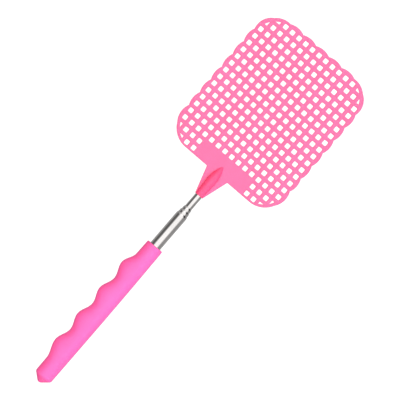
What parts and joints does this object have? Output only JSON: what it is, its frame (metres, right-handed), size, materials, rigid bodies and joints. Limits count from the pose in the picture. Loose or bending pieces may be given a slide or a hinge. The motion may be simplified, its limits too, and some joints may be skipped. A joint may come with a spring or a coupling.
{
  "type": "fly swatter",
  "caption": "Telescopic fly swatter: a flat square-meshed plastic head on a nested steel pole with a ridged soft grip, shown closed.",
  "frame": {"origin": "on the pole's axis, in the plane of the grip's mouth where the pole comes out of it", "axes": "+Y along the pole from the grip to the head, +X across the head away from the finger ridges, +Z square to the head's flat face"},
  "size_m": [0.0928, 0.2965, 0.0136],
  "materials": {
    "head_plastic": "satin",
    "soft_grip": "satin",
    "steel_tube": "polished",
    "shell_metal": "satin",
    "brass_plug": "satin"
  },
  "bodies": {
    "handle": {"grip": "soft_grip", "outer_tube": "steel_tube", "base_plug": "brass_plug"},
    "second_tube_slider": {"second_tube_top_shell": "shell_metal", "second_tube_bottom_shell": "shell_metal"},
    "second_tube_body": {"second_tube": "steel_tube"},
    "third_tube_slider": {"third_tube_top_shell": "shell_metal", "third_tube_bottom_shell": "shell_metal"},
    "third_tube_body": {"third_tube": "steel_tube"},
    "inner_tube_slider": {"inner_tube_top_shell": "shell_metal", "inner_tube_bottom_shell": "shell_metal"},
    "head_body": {"inner_tube": "steel_tube", "swatter_head": "head_plastic"}
  },
  "joints": [
    {"name": "second_tube_slide", "type": "slide", "parent": "handle", "child": "second_tube_slider", "axis": [0, 1, 0], "range_m": [0, 0.1275]},
    {"name": "second_tube_swivel", "type": "hinge", "parent": "second_tube_slider", "child": "second_tube_body", "pos_m": [0, 0, 0], "axis": [0, 1, 0], "continuous": true},
    {"name": "third_tube_slide", "type": "slide", "parent": "second_tube_body", "child": "third_tube_slider", "axis": [0, 1, 0], "range_m": [0, 0.1213]},
    {"name": "third_tube_swivel", "type": "hinge", "parent": "third_tube_slider", "child": "third_tube_body", "pos_m": [0, 0, 0], "axis": [0, 1, 0], "continuous": true},
    {"name": "inner_tube_slide", "type": "slide", "parent": "third_tube_body", "child": "inner_tube_slider", "axis": [0, 1, 0], "range_m": [0, 0.1151]},
    {"name": "head_swivel", "type": "hinge", "parent": "inner_tube_slider", "child": "head_body", "pos_m": [0, 0, 0], "axis": [0, 1, 0], "continuous": true}
  ]
}
